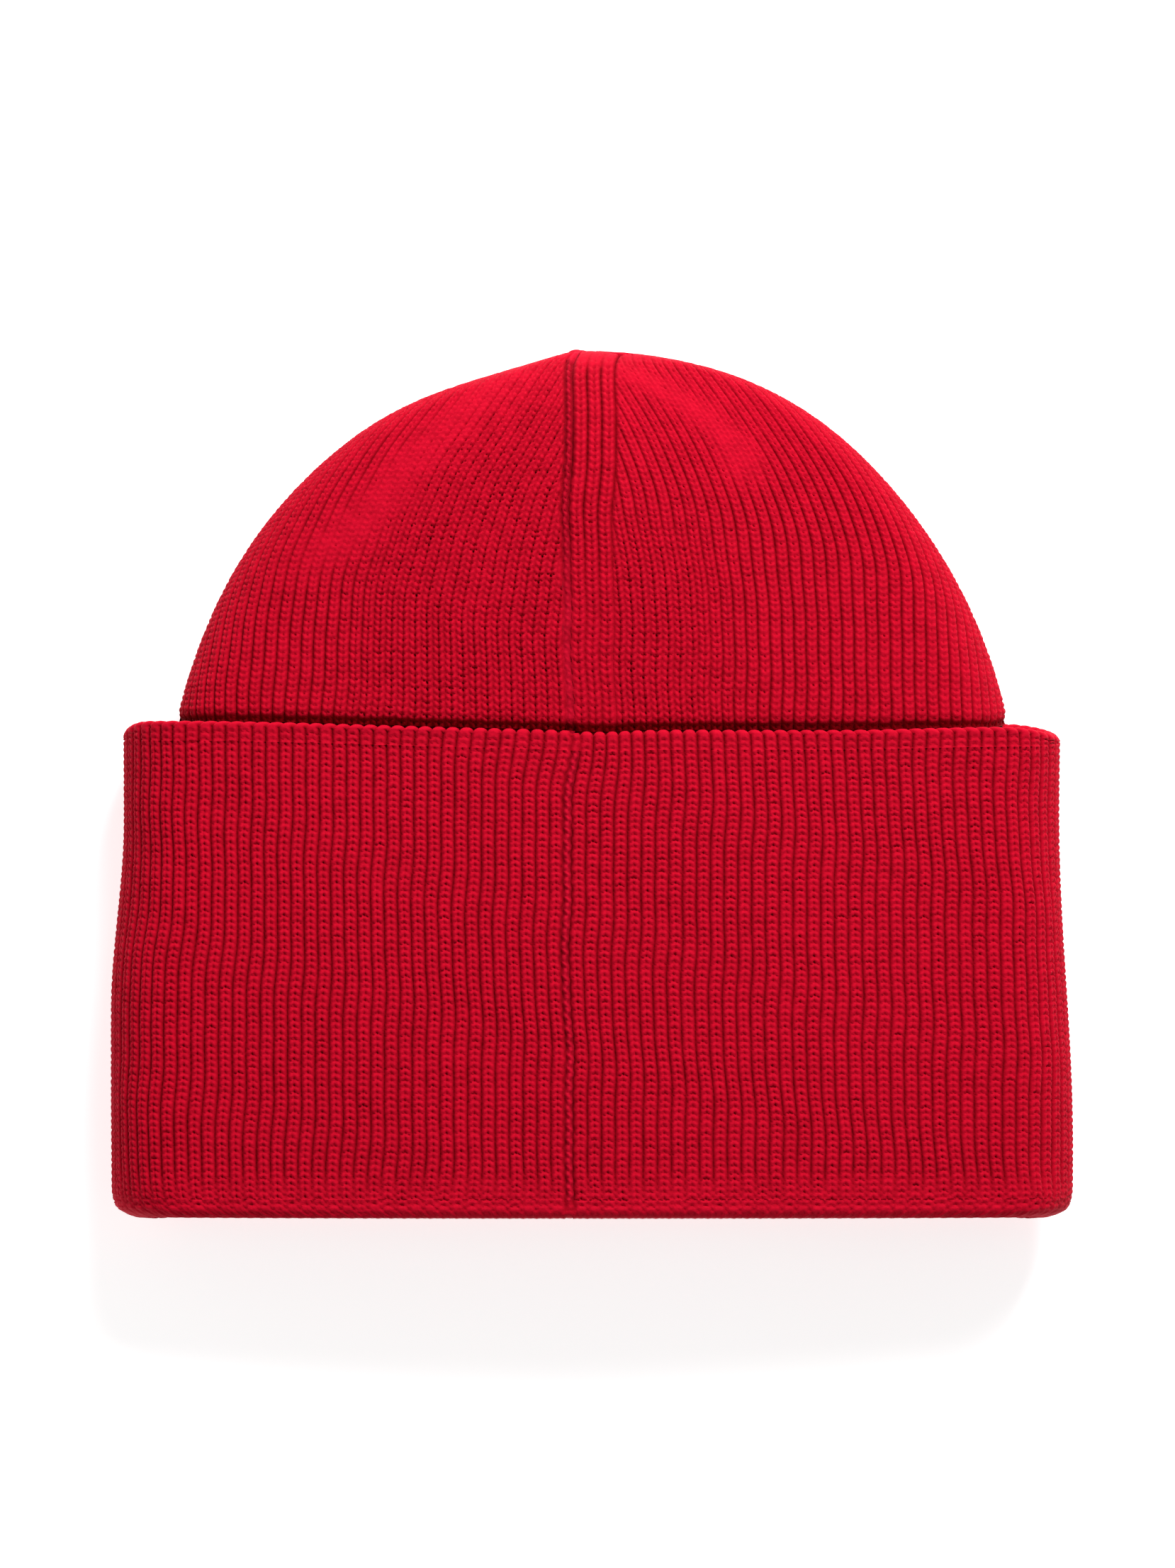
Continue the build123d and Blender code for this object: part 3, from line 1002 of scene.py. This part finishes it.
# each piece: the body it rides on, the frame's node it stands for, its material and its slot
stands = {
    "crownBackLeft": ("hat_body", "crown_back_left", knitWool, "knit"),
    "crownBackRight": ("hat_body", "crown_back_right", knitWool, "knit"),
    "crownBorder": ("hat_body", None, knitWool, "knit"),
    "crownFront": ("hat_body", "crown_front", knitWool, "knit"),
    "crownSeam": ("hat_body", "crown_seam_yarn", seamWool, "seam_yarn"),
    "crownSelvedge": ("hat_body", "crown_selvedge", knitWool, "knit"),
    "bandBackLeft": ("hat_body", "band_back_left", knitWool, "knit"),
    "bandBackRight": ("hat_body", "band_back_right", knitWool, "knit"),
    "bandFront": ("hat_body", "band_front", knitWool, "knit"),
    "bandSeam": ("hat_body", "band_seam_yarn", seamWool, "seam_yarn"),
    "bandSelvedge": ("hat_body", "band_selvedge", knitWool, "knit"),
    "careLabel": ("hat_body", "care_label", labelTape, "label_tape"),
    "labelStitches": ("hat_body", "care_label_stitches", labelThread, "label_thread"),
    "tipStitch": ("hat_body", "crown_tip_stitch", seamWool, "seam_yarn"),
    "cuffBackLeft": ("cuff", "cuff_back_left", knitWool, "knit"),
    "cuffBackRight": ("cuff", "cuff_back_right", knitWool, "knit"),
    "cuffFront": ("cuff", "cuff_front", knitWool, "knit"),
    "cuffSeam": ("cuff", "cuff_seam_yarn", seamWool, "seam_yarn"),
    "cuffWelt": ("cuff", "cuff_top_welt", knitWool, "knit"),
    "cuffFold": ("cuff", "cuff_fold", knitWool, "knit"),
}
for name, (body, cadNode, material, slotName) in stands.items():
    piece = made[name]
    piece.data.materials.clear()
    piece.data.materials.append(material)
    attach(piece, body)
    if cadNode:
        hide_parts(cadNode)
print("materials done")

# flat sizes of the knitted sheets, in metres, as they were before the hat was made up
cuffArcs = ringRow(cuffSkin(0.5 * (wallBottom + wallTop)), 8)[2] * mm
bandArcs = ringRow(bandSkin(0.5 * (band["bottomY"] + cuffTopY)), 8)[2] * mm
crownArcs = ringRow(crownSkin(cuffTopY), 8)[2] * mm

# studio, in metres
studio = {
    "floor": (0.85, 0.85, 0.85, 1.0),
    "floorSize": 6,
    "floorRoughness": 0.9,
    "floorGlow": 0.66,
    "sky": (1.0, 0.99, 0.98, 1.0),
    "skyPower": 0.24,
    "aim": (0, 0, 0.02),
    "key": ((0.40, 1.10, 0.88), 0.6, 27.5),       # place, size and power of each lamp
    "fill": ((-0.8, -0.3, 1.2), 1.2, 3.5),
    "cameraPlace": (-0.001, 0.0, 2.4),
    "sharpAt": 0.015,            # height at which the frame takes in the next size
    "frameHeight": 0.3915,
    "sensor": 36.0,
}
bpy.ops.object.select_all(action="DESELECT")
bpy.ops.mesh.primitive_plane_add(size=studio["floorSize"], location=(0, 0, 0))
floor = bpy.context.object
floor.name = "floor"
paper = plainMaterial("floorPaper", studio["floor"], studio["floorRoughness"])
paperShader = paper.node_tree.nodes["Principled BSDF"]
paperShader.inputs["Emission Color"].default_value = (1.0, 1.0, 1.0, 1.0)
paperShader.inputs["Emission Strength"].default_value = studio["floorGlow"]
floor.data.materials.append(paper)
world = bpy.data.worlds.new("studio")
bpy.context.scene.world = world
world.use_nodes = True
background = world.node_tree.nodes["Background"]
background.inputs["Color"].default_value = studio["sky"]
background.inputs["Strength"].default_value = studio["skyPower"]


def softBox(name, place, size, power):
    bpy.ops.object.select_all(action="DESELECT")
    bpy.ops.object.light_add(type="AREA", location=place)
    lamp = bpy.context.object
    lamp.name = name
    lamp.data.size = size
    lamp.data.energy = power
    lamp.rotation_euler = (Vector(studio["aim"]) - Vector(place)).to_track_quat("-Z", "Y").to_euler()


softBox("keyLight", *studio["key"])
softBox("fillLight", *studio["fill"])
bpy.ops.object.camera_add(location=studio["cameraPlace"])
camera = bpy.context.object
camera.data.sensor_width = studio["sensor"]
distance = studio["cameraPlace"][2] - studio["sharpAt"]
camera.data.lens = studio["sensor"] * distance / studio["frameHeight"]
camera.rotation_euler = (0, 0, 0)
bpy.context.scene.camera = camera
bpy.context.scene.view_settings.view_transform = "Standard"
print("studio done")
